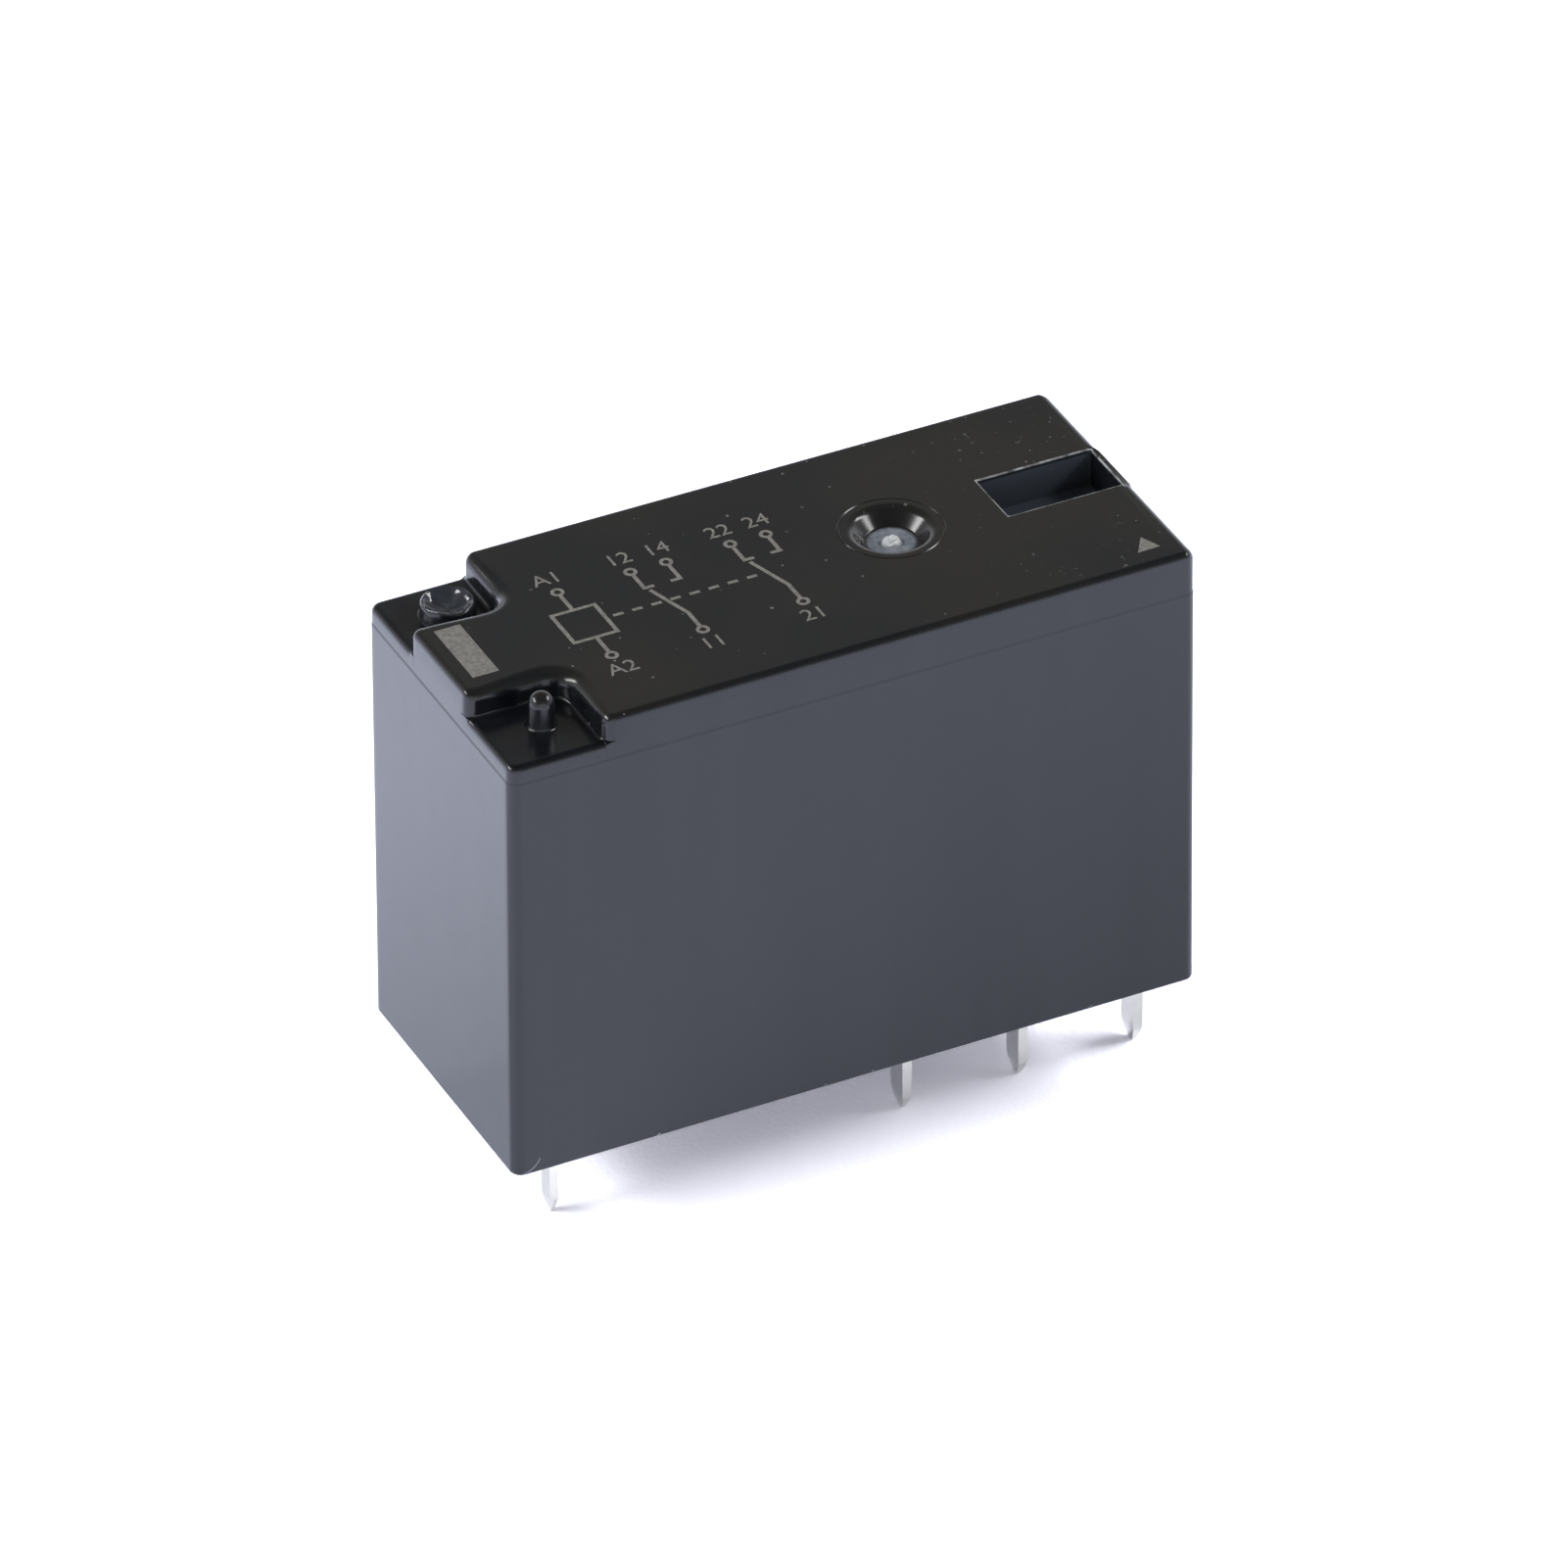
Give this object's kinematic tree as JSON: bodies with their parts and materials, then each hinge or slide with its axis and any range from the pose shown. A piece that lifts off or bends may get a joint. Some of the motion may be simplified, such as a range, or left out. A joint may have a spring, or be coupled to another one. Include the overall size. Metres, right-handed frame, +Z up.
{
  "type": "pcb power relay",
  "caption": "Sealed black box relay that stands on tinned blade pins, with a coil, a tilting armature and change-over contacts inside.",
  "frame": {"origin": "under the middle of the case, at the level of the pin tips", "axes": "+X along the length from the coil end to the contact end, +Y across, +Z up"},
  "size_m": [0.0288, 0.0126, 0.0242],
  "materials": {
    "case_plastic": "fine satin black moulding",
    "base_plastic": "black glass-filled moulding",
    "resin": "cast sealing resin",
    "coil_plastic": "natural moulding",
    "wire": "enamelled copper wire",
    "iron": "plated soft iron",
    "spring_metal": "rolled copper alloy strip",
    "tinned": "tin-dipped copper alloy",
    "contact_metal": "silver alloy"
  },
  "bodies": {
    "case": {"cover": "case_plastic", "base": "base_plastic", "sealing_resin": "resin", "coil_bobbin": "coil_plastic", "coil_winding": "wire", "core": "iron", "yoke": "iron", "hinge_spring": "spring_metal", "coil_terminal_1": "tinned", "coil_terminal_2": "tinned", "com_terminal_1": "tinned", "nc_terminal_1": "tinned", "nc_contact_1": "contact_metal", "no_terminal_1": "tinned", "no_contact_1": "contact_metal", "com_terminal_2": "tinned", "nc_terminal_2": "tinned", "nc_contact_2": "contact_metal", "no_terminal_2": "tinned", "no_contact_2": "contact_metal"},
    "armature": {"armature": "iron"},
    "card": {"card": "coil_plastic"},
    "spring_1": {"moving_spring_1": "spring_metal", "moving_contact_1": "contact_metal"},
    "spring_2": {"moving_spring_2": "spring_metal", "moving_contact_2": "contact_metal"}
  },
  "joints": [
    {"name": "armature_hinge", "type": "hinge", "parent": "case", "child": "armature", "pos_m": [0.00057, 0, 0.01985], "axis": [0, -1, 0], "range_deg": [0, 4], "stiffness_Nm_per_rad": 0.001, "springref_deg": -5.73},
    {"name": "card_slide", "type": "slide", "parent": "case", "child": "card", "axis": [1, 0, 0], "range_m": [0, 0.00043]},
    {"name": "spring_1_flex", "type": "hinge", "parent": "case", "child": "spring_1", "pos_m": [0.00775, -0.00375, 0.0086], "axis": [0, 1, 0], "range_deg": [0, 3.51]},
    {"name": "spring_2_flex", "type": "hinge", "parent": "case", "child": "spring_2", "pos_m": [0.00775, 0.00375, 0.0086], "axis": [0, 1, 0], "range_deg": [0, 3.51]}
  ],
  "couplings": [
    {"joint": "card_slide", "follows": "armature_hinge", "m_per_rad": 0.00605},
    {"joint": "spring_1_flex", "follows": "armature_hinge", "ratio": 0.875},
    {"joint": "spring_2_flex", "follows": "armature_hinge", "ratio": 0.875}
  ]
}
